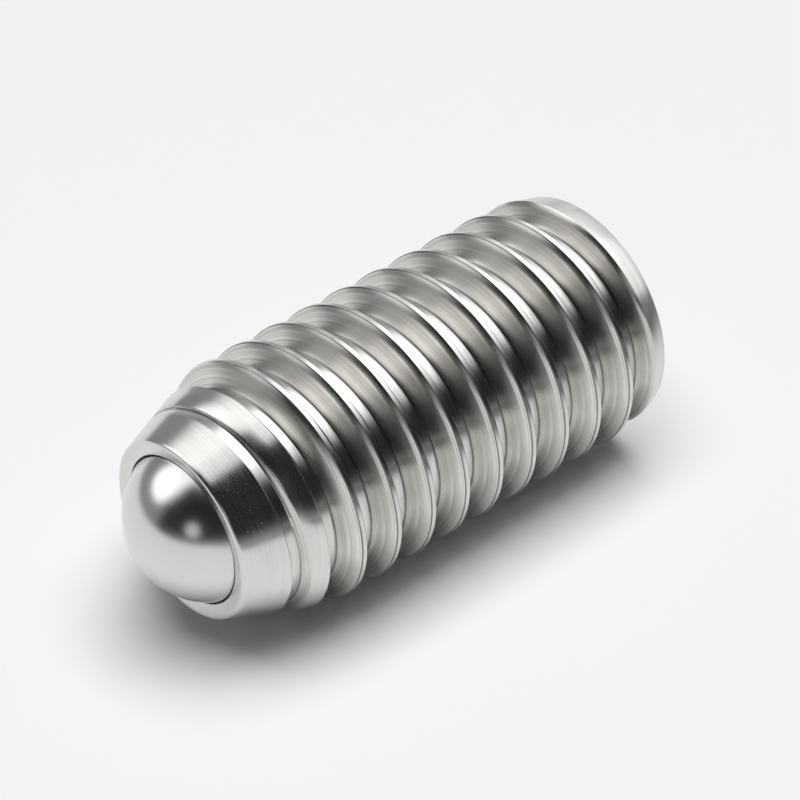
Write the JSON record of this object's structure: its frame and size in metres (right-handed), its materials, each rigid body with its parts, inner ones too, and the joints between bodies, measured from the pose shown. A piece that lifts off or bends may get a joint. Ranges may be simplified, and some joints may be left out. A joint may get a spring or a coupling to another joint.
{
  "type": "ball spring plunger",
  "caption": "Threaded ball plunger with a sprung steel ball held by a rolled lip at its conical nose and a hexagon socket in its rear end.",
  "frame": {"origin": "centre of the flat rear face, on the thread axis", "axes": "+Z along the axis from the socket end to the ball; +X towards one corner of the hexagon socket; the plunger stands on its rear face"},
  "size_m": [0.006, 0.006, 0.0131],
  "materials": {
    "body_steel": "turned stainless steel",
    "spring_steel": "drawn spring wire",
    "ball_steel": "polished bearing steel"
  },
  "bodies": {
    "housing": {"threaded_body": "body_steel", "spring": "spring_steel"},
    "detent_ball": {"ball": "ball_steel"}
  },
  "joints": [
    {"name": "ball_press", "type": "slide", "parent": "housing", "child": "detent_ball", "axis": [0, 0, -1], "range_m": [0, 0.0009], "stiffness_N_per_m": 6900, "springref_m": -0.0008, "deforming": ["spring"]}
  ]
}
